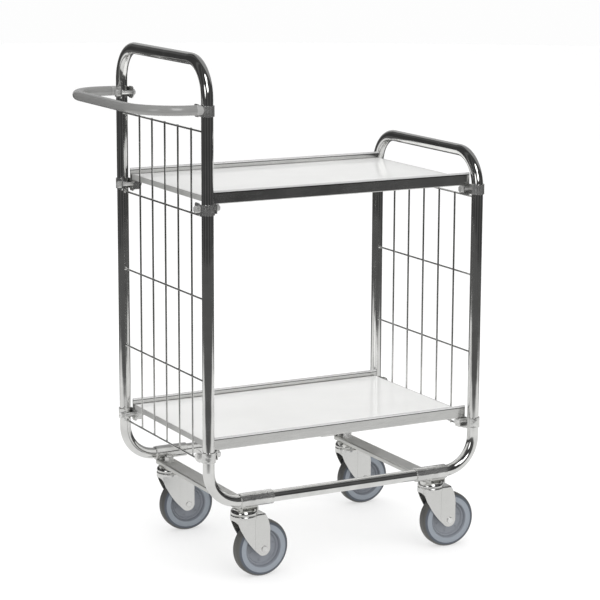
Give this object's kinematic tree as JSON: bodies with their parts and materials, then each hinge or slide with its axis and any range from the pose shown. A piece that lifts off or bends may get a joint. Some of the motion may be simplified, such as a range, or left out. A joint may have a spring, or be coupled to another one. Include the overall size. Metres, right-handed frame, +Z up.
{
  "type": "two-shelf service cart",
  "caption": "Bright tubular two-shelf service cart with wire end grilles, a grey push handle on the taller end and swivel casters.",
  "frame": {"origin": "on the floor under the middle of the overall length, push handle included, midway between the long sides", "axes": "+Z up, +X along the cart away from the push handle, +Y to the left of a person pushing it"},
  "size_m": [0.822, 0.462, 1.1215],
  "materials": {
    "tube_chrome": "bright plated steel tube",
    "wire_chrome": "bright plated steel wire",
    "clamp_zinc": "bright zinc",
    "channel_zinc": "bright zinc sheet",
    "rail_zinc": "bright zinc sheet",
    "fork_zinc": "satin zinc pressing",
    "cap_zinc": "bright zinc pressing",
    "fastener_steel": "zinc-plated hardware",
    "handle_coating": "satin grey coating",
    "board_laminate": "white laminate on board",
    "edge_plastic": "grey edge band",
    "rim_plastic": "blue-grey moulded rim",
    "tyre_rubber": "dark grey solid tyre"
  },
  "bodies": {
    "frame": {"board_edge_strips": "edge_plastic", "caster_balls": "fastener_steel", "caster_caps": "cap_zinc", "caster_kingpins": "fastener_steel", "caster_mounting_nuts": "fastener_steel", "caster_mounting_washers": "fastener_steel", "caster_thrust_washers": "fork_zinc", "front_cross_channel": "channel_zinc", "handle_clamp_bolts": "fastener_steel", "handle_clamp_nuts": "fastener_steel", "handle_clamps": "clamp_zinc", "handle_ferrules": "handle_coating", "left_side_tube": "tube_chrome", "left_tube_sleeves": "clamp_zinc", "low_end_cross_wires": "wire_chrome", "low_end_frame": "tube_chrome", "low_end_upright_wires": "wire_chrome", "lower_board": "board_laminate", "lower_left_rail": "rail_zinc", "lower_right_rail": "rail_zinc", "lower_shelf_clamps": "clamp_zinc", "push_handle": "handle_coating", "rail_end_brackets": "clamp_zinc", "rear_cross_channel": "channel_zinc", "right_side_tube": "tube_chrome", "right_tube_sleeves": "clamp_zinc", "shelf_clamp_bolts": "fastener_steel", "shelf_clamp_nuts": "fastener_steel", "tall_end_cross_wires": "wire_chrome", "tall_end_frame": "tube_chrome", "tall_end_upright_wires": "wire_chrome", "upper_board": "board_laminate", "upper_left_rail": "rail_zinc", "upper_right_rail": "rail_zinc", "upper_shelf_clamps": "clamp_zinc"},
    "rear_right_swivel": {"rear_right_fork": "fork_zinc", "rear_right_axle_bolt": "fastener_steel", "rear_right_axle_nut": "fastener_steel", "rear_right_axle_spacer": "fastener_steel"},
    "rear_right_wheel": {"rear_right_wheel_rim": "rim_plastic", "rear_right_tyre": "tyre_rubber"},
    "rear_left_swivel": {"rear_left_fork": "fork_zinc", "rear_left_axle_bolt": "fastener_steel", "rear_left_axle_nut": "fastener_steel", "rear_left_axle_spacer": "fastener_steel"},
    "rear_left_wheel": {"rear_left_wheel_rim": "rim_plastic", "rear_left_tyre": "tyre_rubber"},
    "front_right_swivel": {"front_right_fork": "fork_zinc", "front_right_axle_bolt": "fastener_steel", "front_right_axle_nut": "fastener_steel", "front_right_axle_spacer": "fastener_steel"},
    "front_right_wheel": {"front_right_wheel_rim": "rim_plastic", "front_right_tyre": "tyre_rubber"},
    "front_left_swivel": {"front_left_fork": "fork_zinc", "front_left_axle_bolt": "fastener_steel", "front_left_axle_nut": "fastener_steel", "front_left_axle_spacer": "fastener_steel"},
    "front_left_wheel": {"front_left_wheel_rim": "rim_plastic", "front_left_tyre": "tyre_rubber"}
  },
  "joints": [
    {"name": "rear_right_swivel_turn", "type": "hinge", "parent": "frame", "child": "rear_right_swivel", "pos_m": [-0.16892, -0.189, 0.142], "axis": [0, 0, 1], "continuous": true},
    {"name": "rear_right_wheel_roll", "type": "hinge", "parent": "rear_right_swivel", "child": "rear_right_wheel", "pos_m": [-0.12895, -0.1876, 0.0625], "axis": [-0.0349, 0.9994, 0], "continuous": true},
    {"name": "rear_left_swivel_turn", "type": "hinge", "parent": "frame", "child": "rear_left_swivel", "pos_m": [-0.16892, 0.189, 0.142], "axis": [0, 0, 1], "continuous": true},
    {"name": "rear_left_wheel_roll", "type": "hinge", "parent": "rear_left_swivel", "child": "rear_left_wheel", "pos_m": [-0.12898, 0.18691, 0.0625], "axis": [0.0523, 0.9986, 0], "continuous": true},
    {"name": "front_right_swivel_turn", "type": "hinge", "parent": "frame", "child": "front_right_swivel", "pos_m": [0.29647, -0.189, 0.142], "axis": [0, 0, 1], "continuous": true},
    {"name": "front_right_wheel_roll", "type": "hinge", "parent": "front_right_swivel", "child": "front_right_wheel", "pos_m": [0.33638, -0.19179, 0.0625], "axis": [0.0698, 0.9976, 0], "continuous": true},
    {"name": "front_left_swivel_turn", "type": "hinge", "parent": "frame", "child": "front_left_swivel", "pos_m": [0.29647, 0.189, 0.142], "axis": [0, 0, 1], "continuous": true},
    {"name": "front_left_wheel_roll", "type": "hinge", "parent": "front_left_swivel", "child": "front_left_wheel", "pos_m": [0.33647, 0.1883, 0.0625], "axis": [0.0175, 0.9998, 0], "continuous": true}
  ]
}
